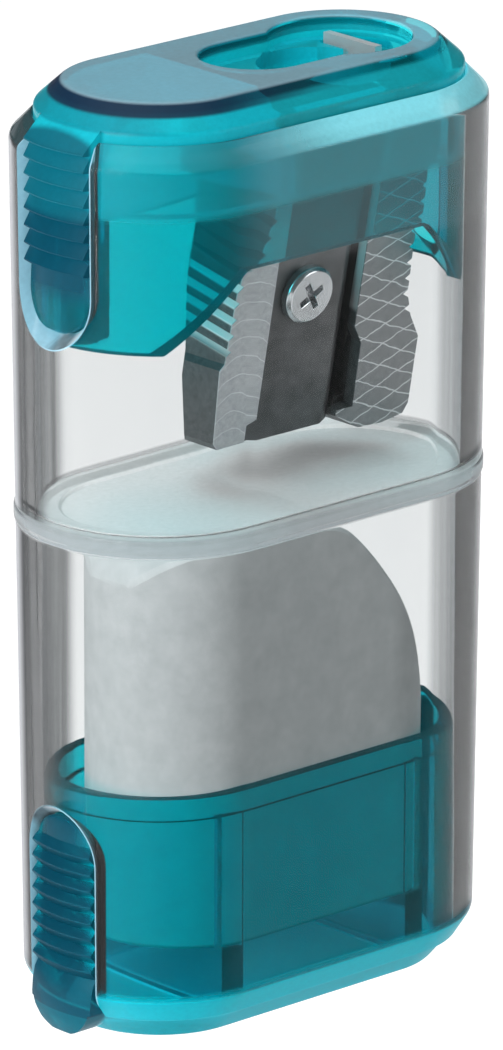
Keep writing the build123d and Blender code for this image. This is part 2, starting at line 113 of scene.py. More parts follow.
def soften(corners, steps=3):
    """Rounds (inset, z, radius) corners of a profile and returns (inset, z) points.

    The two ends stay, and a corner takes less than half of the shorter side next to it."""
    out = []
    for k, (x, z, r) in enumerate(corners):
        if r <= 0 or k in (0, len(corners) - 1):
            out.append((x, z))
            continue
        here = Vector((x, z))
        before = Vector(corners[k - 1][:2]) - here
        after = Vector(corners[k + 1][:2]) - here
        reach = min(r, before.length * 0.45, after.length * 0.45)
        start = here + before.normalized() * reach
        stop = here + after.normalized() * reach
        for i in range(steps + 1):
            t = i / steps
            p = start.lerp(here, t).lerp(here.lerp(stop, t), t)
            out.append((p.x, p.y))
    return out


def boolean(obj, tool, operation="DIFFERENCE"):
    """Cuts, joins or intersects obj with a tool, which is used up."""
    mod = obj.modifiers.new("cut", "BOOLEAN")
    mod.operation = operation
    mod.solver = "EXACT"
    mod.object = tool
    dg = bpy.context.evaluated_depsgraph_get()
    mesh = bpy.data.meshes.new_from_object(obj.evaluated_get(dg))
    obj.modifiers.clear()
    old = obj.data
    obj.data = mesh
    bpy.data.meshes.remove(old)
    bpy.data.objects.remove(tool)
    return obj


def smooth_by_angle(obj, degrees):
    """Smooth shading, with edges above the angle kept sharp."""
    limit = math.radians(degrees)
    bm = bmesh.new()
    bm.from_mesh(obj.data)
    for f in bm.faces:
        f.smooth = True
    for e in bm.edges:
        e.smooth = not (len(e.link_faces) == 2 and e.calc_face_angle(0.0) > limit)
    bm.to_mesh(obj.data)
    bm.free()
    mod = obj.modifiers.new("normals", "WEIGHTED_NORMAL")
    mod.mode = "FACE_AREA"
    mod.weight = 50
    mod.keep_sharp = True


def from_cad(node, name, bevel):
    """Own copy of a CAD node's mesh with merged facets and edges softened by bevel mm."""
    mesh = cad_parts[node].data.copy()
    mesh.name = name
    obj = link(mesh, name)
    bm = bmesh.new()
    bm.from_mesh(mesh)
    bmesh.ops.remove_doubles(bm, verts=bm.verts, dist=2e-6)
    bmesh.ops.dissolve_limit(bm, angle_limit=math.radians(0.6), verts=bm.verts,
                             edges=bm.edges)
    bm.to_mesh(mesh)
    bm.free()
    mesh.materials.clear()
    mod = obj.modifiers.new("edge", "BEVEL")
    mod.width = bevel * MM
    mod.segments = 2
    mod.limit_method = "ANGLE"
    mod.angle_limit = math.radians(28)
    mod.use_clamp_overlap = True
    mod.harden_normals = False
    smooth_by_angle(obj, degrees=32)
    return obj


def place(obj, body, slot, material, *nodes):
    """Gives the piece its material and its body, and hides the CAD nodes that it stands for."""
    obj.data.materials.clear()
    obj.data.materials.append(material)
    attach(obj, body)
    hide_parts(*nodes)


# ------------------------------------------------------------------ materials
class Nodes:
    """Small helper to write a node tree."""

    def __init__(self, name):
        self.mat = bpy.data.materials.new(name)
        self.mat.use_nodes = True
        self.tree = self.mat.node_tree
        self.tree.nodes.clear()
        self.out = self.add("ShaderNodeOutputMaterial")

    def add(self, kind):
        return self.tree.nodes.new(kind)

    def link(self, a, b):
        self.tree.links.new(a, b)

    def coords(self):
        return self.add("ShaderNodeTexCoord").outputs["Object"]

    def noise(self, scale, detail=3.0, rough=0.55, stretch=None):
        tex = self.add("ShaderNodeTexNoise")
        tex.inputs["Scale"].default_value = scale
        tex.inputs["Detail"].default_value = detail
        tex.inputs["Roughness"].default_value = rough
        mapping = self.add("ShaderNodeMapping")
        if stretch:
            mapping.inputs["Scale"].default_value = stretch
        self.link(self.coords(), mapping.inputs["Vector"])
        self.link(mapping.outputs[0], tex.inputs["Vector"])
        return tex.outputs["Fac"]

    def ramp(self, fac, stops):
        ramp = self.add("ShaderNodeValToRGB")
        elements = ramp.color_ramp.elements
        while len(elements) < len(stops):
            elements.new(0.5)
        for e, (pos, col) in zip(elements, stops):
            e.position = pos
            e.color = (*col, 1.0)
        self.link(fac, ramp.inputs["Fac"])
        return ramp.outputs["Color"]

    def scale(self, fac, low, high):
        """Stretches 0 to 1 to low to high."""
        m = self.add("ShaderNodeMapRange")
        m.inputs["To Min"].default_value = low
        m.inputs["To Max"].default_value = high
        self.link(fac, m.inputs["Value"])
        return m.outputs["Result"]

    def math(self, operation, a, b=0.0, clamp=False):
        m = self.add("ShaderNodeMath")
        m.operation = operation
        m.use_clamp = clamp
        for socket, value in zip(m.inputs, (a, b)):
            if isinstance(value, (int, float)):
                socket.default_value = value
            else:
                self.link(value, socket)
        return m.outputs[0]

    def step(self, value, low, high):
        """0 below low, 1 above high, smooth between (or the other way when low > high)."""
        m = self.add("ShaderNodeMapRange")
        m.interpolation_type = "SMOOTHSTEP"
        m.inputs["From Min"].default_value = min(low, high)
        m.inputs["From Max"].default_value = max(low, high)
        m.inputs["To Min"].default_value = 0.0 if low < high else 1.0
        m.inputs["To Max"].default_value = 1.0 if low < high else 0.0
        self.link(value, m.inputs["Value"])
        return m.outputs["Result"]

    def mix_colour(self, blend, a, b, fac=1.0):
        m = self.add("ShaderNodeMix")
        m.data_type = "RGBA"
        m.blend_type = blend
        if isinstance(fac, (int, float)):
            m.inputs[0].default_value = fac
        else:
            self.link(fac, m.inputs[0])
        for socket, value in ((m.inputs[6], a), (m.inputs[7], b)):
            if isinstance(value, tuple):
                socket.default_value = (*value, 1.0)
            else:
                self.link(value, socket)
        return m.outputs[2]

    def mix_shader(self, fac, a, b):
        m = self.add("ShaderNodeMixShader")
        self.link(fac, m.inputs[0])
        self.link(a, m.inputs[1])
        self.link(b, m.inputs[2])
        return m.outputs[0]

    def bump(self, height, strength, distance):
        b = self.add("ShaderNodeBump")
        b.inputs["Strength"].default_value = strength
        b.inputs["Distance"].default_value = distance
        self.link(height, b.inputs["Height"])
        return b.outputs["Normal"]


def masks(n):
    """Separated object coordinates in mm: x, y, z."""
    sep = n.add("ShaderNodeSeparateXYZ")
    n.link(n.coords(), sep.inputs[0])
    return [n.math("MULTIPLY", out, 1000.0) for out in sep.outputs]


def matt_and_painted_layer(n, colour):
    """Matt surface of a moulding, with a fine grain; in some patches its colour paints light, shade
    and reflections.
    """
    b = n.add("ShaderNodeBsdfPrincipled")
    grain = n.noise(2600.0, 3.0, 0.6)
    n.link(n.ramp(grain, [(0.25, [c * 0.86 for c in colour]), (0.75, colour)]),
           b.inputs["Base Color"])
    n.link(n.scale(grain, 0.35, 0.5), b.inputs["Roughness"])
    b.inputs["Specular IOR Level"].default_value = 0.12
    return b.outputs[0]


def painted_edge_shade_layer(n, facing, x):
    """Painted dark grey shade, streaky, on the upright walls where they are seen along the surface:
    where, shader.
    """
    b = n.add("ShaderNodeBsdfPrincipled")
    n.link(n.ramp(facing, [(0.36, (0.055, 0.058, 0.06)), (0.71, (0.06, 0.062, 0.065)),
                           (0.82, (0.36, 0.37, 0.39)), (1.0, (0.55, 0.56, 0.59))]),
           b.inputs["Base Color"])
    b.inputs["Roughness"].default_value = 0.6
    b.inputs["Specular IOR Level"].default_value = 0.0
    # a little more of it in the lower chamber and at the left end
    _, _, z = masks(n)
    lower = n.math("MULTIPLY", n.step(z, BEAD_LOW, BEAD_LOW - 0.2), 0.05)
    grazing = n.step(n.math("ADD", facing, lower), 0.36, 0.52)
    streaks = n.scale(n.noise(1400.0, 2.0, 0.5, (1.0, 1.0, 0.01)), 0.55, 1.45)
    where = n.math("MULTIPLY", n.math("MULTIPLY", grazing, streaks), upright_walls(n))
    return n.math("MULTIPLY", where, n.scale(n.step(x, -2.0, 8.0), 1.0, 0.45)), b.outputs[0]


# how much of the light only passes through a see-through moulding: on its wide faces, at its ends
PASSING_SHARE, PASSING_AT_ENDS = 0.7, 0.28


def tinted_plastic(name, tint_low, tint_high, shadow, ior, rough, gloss, edge, matt_and_painted_patches, edge_shade_share=0.0):
    """Moulded see-through plastic that also lets lamps reach what is inside it.

    shadow is the colour of the light it lets through to other pieces. edge is painted shade:
    it darkens it where it is seen along the surface. The list of patches gives (mask maker,
    colour, share) for moulded matt patches and for patches whose colour is painted light,
    shade and reflection. The last argument is the share of painted dark grey shade in the
    upright walls where they are seen along the surface."""
    n = Nodes(name)
    b = n.add("ShaderNodeBsdfPrincipled")
    b.inputs["Transmission Weight"].default_value = 1.0
    b.inputs["IOR"].default_value = ior
    b.inputs["Specular Tint"].default_value = (gloss, gloss, gloss, 1.0)
    flow = n.noise(90.0, 3.0, 0.6, (1.0, 1.0, 0.35))
    tint = n.ramp(flow, [(0.3, tint_low), (0.7, tint_high)])
    # painted shade: the colour darkens where the surface is seen along it
    facing = n.add("ShaderNodeLayerWeight")
    facing.inputs["Blend"].default_value = 0.5
    rim = n.ramp(facing.outputs["Facing"], edge)
    colour = n.mix_colour("MULTIPLY", tint, rim)
    haze = n.scale(n.noise(900.0, 2.0), *rough)
    waves = n.bump(n.noise(160.0, 2.0, 0.5, (1.0, 1.0, 0.4)), 0.04, 0.0004)
    n.link(colour, b.inputs["Base Color"])
    n.link(haze, b.inputs["Roughness"])
    n.link(waves, b.inputs["Normal"])
    # most of the light only passes through, so that little of the floor shows on the faces
    through = n.add("ShaderNodeBsdfRefraction")
    one_face = n.add("ShaderNodeGamma")
    one_face.inputs["Gamma"].default_value = 0.5
    n.link(colour, one_face.inputs["Color"])
    n.link(one_face.outputs["Color"], through.inputs["Color"])
    n.link(haze, through.inputs["Roughness"])
    n.link(waves, through.inputs["Normal"])
    through.inputs["IOR"].default_value = ior
    x, _, _ = masks(n)
    passing = n.scale(n.step(n.math("ABSOLUTE", x), 12.0, 15.5), PASSING_SHARE, PASSING_AT_ENDS)
    last = n.mix_shader(passing, b.outputs[0], through.outputs[0])
    for maker, patch_colour, share in matt_and_painted_patches:
        last = n.mix_shader(n.math("MULTIPLY", maker(n), share), last,
                            matt_and_painted_layer(n, patch_colour))
    # painted dark grey shade on the upright walls where they are seen along the surface
    if edge_shade_share:
        where, grey = painted_edge_shade_layer(n, facing.outputs["Facing"], x)
        last = n.mix_shader(n.math("MULTIPLY", where, edge_shade_share, clamp=True), last, grey)
    clear = n.add("ShaderNodeBsdfTransparent")
    clear.inputs["Color"].default_value = (*shadow, 1.0)
    path = n.add("ShaderNodeLightPath")
    n.link(n.mix_shader(path.outputs["Is Shadow Ray"], last, clear.outputs[0]),
           n.out.inputs["Surface"])
    return n.mat


def solid(name, low, high, metallic, rough, grain, relief, stretch=None):
    """Opaque material with a colour, a roughness and a relief that all vary by grain."""
    n = Nodes(name)
    b = n.add("ShaderNodeBsdfPrincipled")
    b.inputs["Metallic"].default_value = metallic
    b.inputs["IOR"].default_value = 1.5
    n.link(n.ramp(n.noise(grain * 0.4, 4.0, 0.6, stretch), [(0.3, low), (0.7, high)]),
           b.inputs["Base Color"])
    n.link(n.scale(n.noise(grain, 3.0, 0.6, stretch), *rough), b.inputs["Roughness"])
    n.link(n.bump(n.noise(grain * 1.7, 4.0, 0.6, stretch), *relief), b.inputs["Normal"])
    n.link(b.outputs[0], n.out.inputs["Surface"])
    return n.mat


def upright_walls(n):
    """The case between its two chamfers, away from the bead."""
    _, _, z = masks(n)
    level = n.math("MULTIPLY", n.step(z, FOOT_EDGE - 0.1, FOOT_EDGE + 0.2),
                   n.step(z, RIM_EDGE + 0.15, RIM_EDGE - 0.15))
    middle = n.math("MAXIMUM", n.step(z, BEAD_LOW, BEAD_LOW - 0.2),
                    n.step(z, BEAD_HIGH - 0.05, BEAD_HIGH + 0.15))
    return n.math("MULTIPLY", level, middle)


def rim_painted_reflection(n):
    """Painted pale cyan reflection of the teal cap on the rim chamfer, fainter towards the left
    end.
    """
    x, _, z = masks(n)
    return n.math("MULTIPLY", n.step(z, RIM_EDGE - 0.15, RIM_EDGE + 0.15),
                  n.scale(n.step(x, -9.0, 2.0), 0.05, 1.0))


def foot_painted_teal_light(n):
    """Painted teal light on the foot chamfer of the case."""
    _, _, z = masks(n)
    return n.step(z, FOOT_EDGE + 0.2, FOOT_EDGE - 0.1)


def plan_radius(n, x, y):
    """Distance in plan from the case's centre line, in mm."""
    beyond = n.math("MAXIMUM", n.math("SUBTRACT", n.math("ABSOLUTE", x), END), 0.0)
    return n.math("SQRT", n.math("ADD", n.math("POWER", beyond, 2.0), n.math("POWER", y, 2.0)))


def floor_band(n):
    """The frosted partition inside the walls."""
    x, y, z = masks(n)
    level = n.math("MULTIPLY", n.step(z, BEAD_LOW - 0.3, BEAD_LOW - 0.15),
                   n.step(z, BEAD_HIGH + 0.15, BEAD_HIGH))
    return n.math("MULTIPLY", level, n.step(plan_radius(n, x, y), 8.3, 8.1))


def bead(n):
    """The bead outside the case; its grey is painted shade."""
    x, y, z = masks(n)
    level = n.math("MULTIPLY", n.step(z, BEAD_LOW - 0.15, BEAD_LOW + 0.1),
                   n.step(z, BEAD_HIGH + 0.1, BEAD_HIGH - 0.15))
    return n.math("MULTIPLY", level, n.step(plan_radius(n, x, y), 9.3, 9.5))


def notch_edges(n):
    """Bevelled edges of the four grip notches: cones whose width grows outwards. Their pale
    blue-grey is painted light reflected inside the bevels.
    """
    x, y, z = masks(n)
    above = n.math("ABSOLUTE", n.math("MINIMUM", n.math("SUBTRACT", z, CAP_NOTCH_Z), 0.0))
    below = n.math("MAXIMUM", n.math("SUBTRACT", z, HOLDER_NOTCH_Z), 0.0)
    rise = n.math("MINIMUM", above, below)
    reach = n.math("SQRT", n.math("ADD", n.math("POWER", y, 2.0), n.math("POWER", rise, 2.0)))
    beyond = n.math("SUBTRACT", n.math("ABSOLUTE", x), NOTCH_FOOT)
    grown = n.math("MULTIPLY", beyond, BEVEL_SLOPE)
    return n.step(n.math("SUBTRACT", reach, grown), NOTCH_HALF + 0.14, NOTCH_HALF + 0.05)


def skirt_painted_reflection(n):
    """Faint painted reflection on the wide faces, over the cap's skirt."""
    x, _, z = masks(n)
    return n.math("MULTIPLY", n.step(z, 52.8, 53.6), n.step(x, -10.0, -6.0))


def base_edge(n):
    """The holder's base, lit from below."""
    _, _, z = masks(n)
    return n.step(z, 1.85, 1.75)


def inner_floor(n):
    """Bottom of the holder inside its wall, painted bright teal as light."""
    x, y, z = masks(n)
    level = n.math("MULTIPLY", n.step(z, 1.45, 1.55), n.step(z, 1.80, 1.70))
    return n.math("MULTIPLY", level, n.step(plan_radius(n, x, y), 7.0, 6.8))


def crown_end_painted_shade(n):
    """Painted dark shade on the crown over the left grip."""
    x, _, z = masks(n)
    level = n.math("MULTIPLY", n.step(z, 62.8, 63.0), n.step(z, TOP - 0.04, TOP - 0.15))
    return n.math("MULTIPLY", level, n.step(x, -11.5, -14.5))


def cap_top(n):
    """The flat top face of the cap: matt, and its grey-blue is partly painted sheen of the light
    above.
    """
    _, _, z = masks(n)
    return n.step(z, TOP - 0.2, TOP - 0.04)


def thick_wall(n):
    """The cap's solid upper part."""
    _, _, z = masks(n)
    return n.math("MULTIPLY", n.step(z, 56.9, 57.4), n.step(z, TOP - 0.45, TOP - 0.75))


def crown_shade(n):
    """Dark band under the edge of the top face, strongest towards the left end."""
    x, _, z = masks(n)
    band = n.math("MULTIPLY", n.step(z, TOP - 0.98, TOP - 0.75),
                  n.step(z, TOP - 0.02, TOP - 0.1))
    return n.math("MULTIPLY", band, n.step(x, 6.0, -10.0))


def grips(n):
    """The ribs, and the whole grip on the eraser holder; the cap's plain tongue stays bright."""
    x, y, z = masks(n)
    reach = n.math("ABSOLUTE", x)
    ribs = n.math("MULTIPLY", n.step(reach, 16.4, 16.9),
                  n.math("MAXIMUM", n.step(z, 36.0, 34.0), n.step(z, 50.8, 52.4)))
    bulb = n.math("MULTIPLY", n.step(reach, 15.0, 15.6), n.step(z, 6.0, 4.6))
    bulb = n.math("MULTIPLY", bulb, n.step(n.math("ABSOLUTE", y), 3.3, 2.9))
    return n.math("MAXIMUM", ribs, bulb)


def everywhere(n):
    """Faint cloudiness all through the moulding."""
    return n.step(n.noise(60.0, 2.0), 0.1, 0.5)


# the order of the patches matters: each one is mixed over those before it
clear_plastic = tinted_plastic(
    "clear_plastic_mat", tint_low=(0.815, 0.83, 0.835), tint_high=(0.85, 0.86, 0.86),
    shadow=(0.97, 0.98, 0.98), ior=1.38, rough=(0.0, 0.03), gloss=0.12,
    edge=[(0.305, (1.0, 1.0, 1.0)), (0.40, (0.85, 0.86, 0.87)), (1.0, (0.35, 0.36, 0.37))],
    matt_and_painted_patches=[(rim_painted_reflection, (0.27, 0.88, 1.0), 0.56),
           (foot_painted_teal_light, (0.0, 0.60, 0.74), 0.44),
           (floor_band, (1.0, 1.0, 1.0), 0.62),
           (bead, (0.26, 0.29, 0.31), 0.45),
           (notch_edges, (0.36, 0.65, 0.80), 0.60),
           (skirt_painted_reflection, (0.80, 0.82, 0.84), 0.035)],
    # share of painted dark grey shade on the walls where they are seen along the surface
    edge_shade_share=0.72)
teal_plastic = tinted_plastic(
    "teal_plastic_mat", tint_low=(0.0, 0.55, 0.63), tint_high=(0.002, 0.60, 0.68),
    shadow=(0.55, 0.93, 0.96), ior=1.4, rough=(0.02, 0.08), gloss=0.10,
    edge=[(0.0, (1.0, 1.0, 1.0)), (0.8, (0.9, 0.9, 0.95)), (1.0, (0.3, 0.45, 0.6))],
    matt_and_painted_patches=[(everywhere, (0.0, 0.44, 0.52), 0.10),
           (thick_wall, (0.01, 0.52, 0.61), 0.42),
           (crown_end_painted_shade, (0.0, 0.13, 0.18), 0.55),
           (crown_shade, (0.003, 0.010, 0.034), 0.93),
           (cap_top, (0.27, 0.42, 0.50), 0.55),
           (base_edge, (0.0, 0.55, 0.67), 0.40),
           (inner_floor, (0.02, 0.95, 1.0), 0.75),
           (grips, (0.0, 0.04, 0.075), 0.78)])


def stripes(n, value, pitch, width, wobble=0.0):
    """Lines every pitch mm along value, 1 on a line; wobble bends them a little.

    width is half of a line, as a share of the pitch."""
    if wobble:
        value = n.math("ADD", value, n.math("MULTIPLY", n.noise(900.0, 2.0), wobble))
    part = n.math("FRACT", n.math("DIVIDE", value, pitch))
    off = n.math("ABSOLUTE", n.math("SUBTRACT", part, 0.5))
    return n.step(off, width, width * 0.35)


def cutter_marks(n, x, up, right_side):
    """Crossed marks on the right cheek, bowed ones on the left."""
    lean = n.math("MULTIPLY", x, 0.42)
    cross = [stripes(n, n.math(way, up, lean), pitch=1.55, width=0.045, wobble=0.4)
             for way in ("ADD", "SUBTRACT")]
    bow = n.math("POWER", n.math("ABSOLUTE", n.math("ADD", x, 3.2)), 2.0)
    arcs = stripes(n, n.math("ADD", up, n.math("MULTIPLY", bow, 0.28)),
                   pitch=1.35, width=0.04, wobble=0.5)
    return n.math("ADD", n.math("MULTIPLY", n.math("MAXIMUM", *cross), right_side),
                  n.math("MULTIPLY", arcs, n.math("SUBTRACT", 1.0, right_side)))


def serration_painted_highlights(n, x, up):
    """Painted highlights on the tips of the serrations on both flanks."""
    bars = stripes(n, n.math("SUBTRACT", up, 0.25), pitch=1.1715, width=0.26)
    height = n.math("MULTIPLY", n.step(up, 45.0, 45.6), n.step(up, 51.2, 50.4))
    flanks = n.math("MAXIMUM", n.step(x, -3.4, -3.9), n.step(x, 9.6, 10.2))
    return n.math("MULTIPLY", n.math("MULTIPLY", bars, height), flanks)


def milled_alloy(name):
    """Light alloy: milled front cheeks with pale cutter marks, the left strip painted lighter and
    the right cheek darker as light and shade, and darker flanks and back.
    """
    n = Nodes(name)
    x, y, z = masks(n)
    slope = math.tan(LEAN)
    foot_y, foot_z = -1.519, 39.3                # lower edge of the leaning front face
    depth = n.math("ADD", n.math("ADD", y, n.math("MULTIPLY", z, slope)),
                   -foot_y - foot_z * slope)     # behind that face
    up = n.math("SUBTRACT", n.math("MULTIPLY", z, math.cos(LEAN)),
                n.math("MULTIPLY", y, math.sin(LEAN)))       # height along it
    front = n.step(depth, 0.10, 0.03)
    right_side = n.step(x, 4.0, 6.0)
    lines = n.math("MULTIPLY", cutter_marks(n, x, up, right_side), front)
    grain = n.noise(2400.0, 4.0, 0.65)
    # painted light and shade: the strip on the left lighter and the cheek on the right darker,
    # though both face the same way
    cheek = n.ramp(grain, [(0.3, (0.19, 0.20, 0.205)), (0.7, (0.27, 0.28, 0.285))])
    strip = n.ramp(grain, [(0.3, (0.42, 0.435, 0.45)), (0.7, (0.56, 0.575, 0.59))])
    flank = n.ramp(grain, [(0.3, (0.035, 0.038, 0.040)), (0.7, (0.085, 0.09, 0.092))])
    face = n.mix_colour("MIX", strip, cheek, right_side)
    face = n.mix_colour("MIX", face, (0.76, 0.78, 0.79), n.math("MULTIPLY", lines, 0.70))
    # painted highlights on the serration tips, reddish so that they read white under the
    # teal-tinted light
    flank = n.mix_colour("MIX", flank, (0.95, 0.74, 0.72), serration_painted_highlights(n, x, up))
    # bright wall beside the blade, and the lug in the keyhole
    wall = n.math("MULTIPLY", n.step(x, 6.15, 6.25), n.step(x, 6.55, 6.45))
    wall = n.math("MULTIPLY", wall, n.step(up, 46.0, 46.6))
    lug = n.step(z, 61.55, 61.7)
    flank = n.mix_colour("MIX", flank, (0.55, 0.56, 0.57), n.math("MAXIMUM", wall, lug))
    b = n.add("ShaderNodeBsdfPrincipled")
    n.link(n.scale(n.math("MAXIMUM", front, lug), 0.15, 0.75), b.inputs["Metallic"])
    n.link(n.mix_colour("MIX", flank, face, front), b.inputs["Base Color"])
    n.link(n.scale(grain, 0.34, 0.52), b.inputs["Roughness"])
    height = n.math("ADD", n.math("MULTIPLY", grain, 0.5), lines)
    n.link(n.bump(height, 0.25, 0.00006), b.inputs["Normal"])
    n.link(b.outputs[0], n.out.inputs["Surface"])
    return n.mat


alloy = milled_alloy("alloy_mat")
steel = solid("steel_mat", low=(0.072, 0.074, 0.077), high=(0.122, 0.124, 0.127),
              metallic=0.8, rough=(0.30, 0.44), grain=1500.0, relief=(0.15, 0.00003),
              stretch=(1.0, 6.0, 0.25))
plated = solid("plated_mat", low=(0.52, 0.53, 0.54), high=(0.66, 0.67, 0.68),
               metallic=0.95, rough=(0.14, 0.26), grain=1200.0, relief=(0.1, 0.00003))
rubber = solid("rubber_mat", low=(0.51, 0.54, 0.55), high=(0.60, 0.63, 0.64),
               metallic=0.0, rough=(0.55, 0.75), grain=1800.0, relief=(0.2, 0.00008))


# ------------------------------------------------------------------ clear case
CHAMBER_CEILING, PARTITION_TOP, DISH = 34.4, 35.6, 35.35
BEAD_OUT = 0.19                                # inset of the bead's outer face
# from the lower chamber's ceiling round the outside to the dish in the partition
case_profile = soften([
    (2.1, CHAMBER_CEILING, 0), (2.0, CASE_FOOT + 0.02, 0.1), (1.75, CASE_FOOT, 0.1),
    (0.69, FOOT_EDGE, 0.35), (0.315, BEAD_LOW, 0.12), (BEAD_OUT, BEAD_LOW + 0.25, 0.3),
    (BEAD_OUT, BEAD_HIGH - 0.25, 0.3), (0.30, BEAD_HIGH, 0.12), (0.006, RIM_EDGE, 0.3),
    (1.4, CASE_RIM, 0.15), (1.55, CASE_RIM - 0.02, 0.08), (1.75, PARTITION_TOP, 0.35),
    (3.2, PARTITION_TOP, 0.15), (3.35, DISH, 0.15), (3.6, DISH, 0)])
case = rings_object("case_clear", case_profile, 90)


def u_plan(half, z_round, z_far, steps):
    """U outline in y and z, round at z_round and open towards z_far."""
    way = 1 if z_far > z_round else -1
    turn = [math.pi * i / steps for i in range(steps + 1)]
    arc = [(half * math.cos(a), z_round - way * half * math.sin(a)) for a in turn]
    return [(half, z_far)] + arc + [(-half, z_far)]


def notch(side, z_round, z_far):
    """Bevelled U notch tool for one end of the case."""
    wide = NOTCH_HALF + (NOTCH_TOP - NOTCH_FOOT) * BEVEL_SLOPE
    return loft("tool", [[(side * x, y, z) for y, z in u_plan(half, z_round, z_far, 24)]
                         for x, half in ((NOTCH_TOP, wide), (NOTCH_FOOT, NOTCH_HALF),
                                         (13.5, NOTCH_HALF))])


for side in (-1, 1):
    boolean(case, notch(side, CAP_NOTCH_Z, 90.0))
    boolean(case, notch(side, HOLDER_NOTCH_Z, -20.0))
smooth_by_angle(case, degrees=32)
place(case, "case", "clear_plastic", clear_plastic, "clear_housing")


# ------------------------------------------------------------------ grips
def grip(side, profile, plan):
    """Rib profile in x and z turned about the end's own centre line, cut to the outline plan."""
    steps, spread = 28, math.radians(24)
    loops = []
    for i in range(steps + 1):
        a = -spread + 2 * spread * i / steps
        loops.append([(side * (END + (x - END) * math.cos(a)), (x - END) * math.sin(a), z)
                      for x, z in profile])
    obj = loft("grip", loops)
    tool = loft("tool", [[(side * x, y, z) for y, z in plan] for x in (14.0, 19.5)])
    return boolean(obj, tool, "INTERSECT")


# ------------------------------------------------------------------ cap
CEILING, THICK_WALL, SKIRT_END = 63.3, 57.3, 48.1     # inside the cap
CAP_OUT, SKIRT_IN, THICK_IN = 1.62, 2.75, 3.9         # insets of its faces
cap_profile = soften([
    (THICK_IN, CEILING, 0), (THICK_IN, THICK_WALL, 0.1), (SKIRT_IN, THICK_WALL, 0.1),
    (SKIRT_IN, SKIRT_END, 0.12), (1.74, SKIRT_END, 0.12), (CAP_OUT, CASE_RIM, 0.3),
    (CAP_OUT, 63.0, 0.25), (3.5, TOP, 0.35), (4.2, TOP, 0)])
cap = rings_object("cap_teal", cap_profile, 60)
arch = [(-8.0, 53.4), (8.0, 53.4), (14.3, 47.1), (-14.3, 47.1)]     # under the skirt
boolean(cap, loft("tool", [[(x, y, z) for x, z in arch] for y in (-12.0, 12.0)]))
collar = [(-4.0, -7.2), (11.15, -7.2), (11.8, -6.89), (11.8, 6.4), (-4.0, 6.4)]
boolean(cap, upright(collar, THICK_WALL, CEILING + 0.1), "UNION")
boolean(cap, box(-2.9, 10.7, -6.0, 5.2, 50.0, 61.5))                # room for the metal body


def keyhole(grow):
    """Plan of the pocket in the top: a large round end and a narrower slot."""
    big, small, big_x, small_x = 4.85 + grow, 3.76 + grow, 7.9, 0.4
    reach = math.degrees(math.asin(small / big))
    pts = []
    for i in range(33):
        a = math.radians(-180 + reach + (360 - 2 * reach) * i / 32)
        pts.append((big_x + big * math.cos(a), big * math.sin(a)))
    for i in range(17):
        a = math.radians(90 + 180 * i / 16)
        pts.append((small_x + small * math.cos(a), small * math.sin(a)))
    return pts


pocket = ((-0.15, 63.1), (0.0, CEILING), (0.0, 64.45), (0.12, 64.62), (0.35, 64.75), (0.35, 66.0))
boolean(cap, loft("tool", [[(x, y, z) for x, y in keyhole(grow)] for grow, z in pocket]))
boolean(cap, upright(circle(HOLE_X, 0, HOLE_RADIUS), 60.0, 63.5))
boolean(cap, box(9.55, 10.65, -1.35, 3.95, 60.0, 63.5))             # slot for the lug
RIBS = 8
cap_tip, cap_root, cap_pitch, cap_first = 17.76, 17.14, 1.17, 61.6
cap_rib = [(GRIP_ROOT, 62.8), (GRIP_ROOT, 63.55), (16.1, 63.2)]
for i in range(RIBS):
    z = cap_first - i * cap_pitch
    cap_rib += [(cap_tip, z + 0.06), (cap_tip, z - 0.03), (cap_root, z - 0.14)]
cap_rib += [(17.25, 51.2), (17.25, 49.5), (17.15, 49.15), (16.9, 48.95), (GRIP_ROOT, 48.95)]
for side in (-1, 1):
    boolean(cap, grip(side, cap_rib, u_plan(GRIP_HALF, CAP_NOTCH_Z, 90.0, 20)), "UNION")
smooth_by_angle(cap, degrees=30)
place(cap, "cap_unit", "teal_plastic", teal_plastic, "cap")

# ------------------------------------------------------------------ eraser holder
HOLDER_TOP, HOLDER_FLOOR = 17.3, 1.6
HOLDER_IN, BAND_IN = 3.35, 3.1                 # insets inside, below and behind the rim band
holder_profile = soften([
    (HOLDER_IN, HOLDER_FLOOR, 0), (HOLDER_IN, 15.5, 0.1), (BAND_IN, 15.6, 0.1),
    (BAND_IN, HOLDER_TOP, 0.12), (2.12, HOLDER_TOP, 0.12), (2.07, CASE_FOOT, 0.3),
    (3.48, 0.0, 0.3), (4.2, 0.0, 0)])
holder = rings_object("holder_teal", holder_profile, 60)
WEB_X, WEB_THICK, ERASER_FOOT = 8.1, 1.6, 6.0
for side in (-1, 1):
    web = box(side * WEB_X - WEB_THICK / 2, side * WEB_X + WEB_THICK / 2, -6.7, 6.7, 1.4, 15.45)
    boolean(web, upright(obround(12.85, 6.35, 24), ERASER_FOOT, 20.0))
    boolean(holder, web, "UNION")
holder_tip, holder_root, holder_pitch, holder_first = 17.38, 16.92, 1.147, 13.1
holder_rib = [(GRIP_ROOT, 0.3), (16.0, 0.08), (16.6, 0.02), (16.95, 0.2), (17.22, 0.75),
              (17.4, 1.5), (17.45, 2.3), (17.38, 3.2), (17.2, 4.0)]
for i in reversed(range(RIBS)):
    z = holder_first - i * holder_pitch
    holder_rib += [(holder_root, z - 0.62), (holder_tip, z - 0.05), (holder_tip, z + 0.05)]
holder_rib += [(holder_root, 13.7), (holder_root, 14.9), (16.8, 15.25), (16.5, 15.4),
               (GRIP_ROOT, 15.4)]
for side in (-1, 1):
    upper = grip(side, holder_rib, u_plan(GRIP_HALF, HOLDER_NOTCH_Z, 2.0, 20))
    lower = grip(side, holder_rib, u_plan(GRIP_HALF, 3.0, 11.4, 20))
    boolean(upper, lower, "UNION")
    boolean(holder, upper, "UNION")
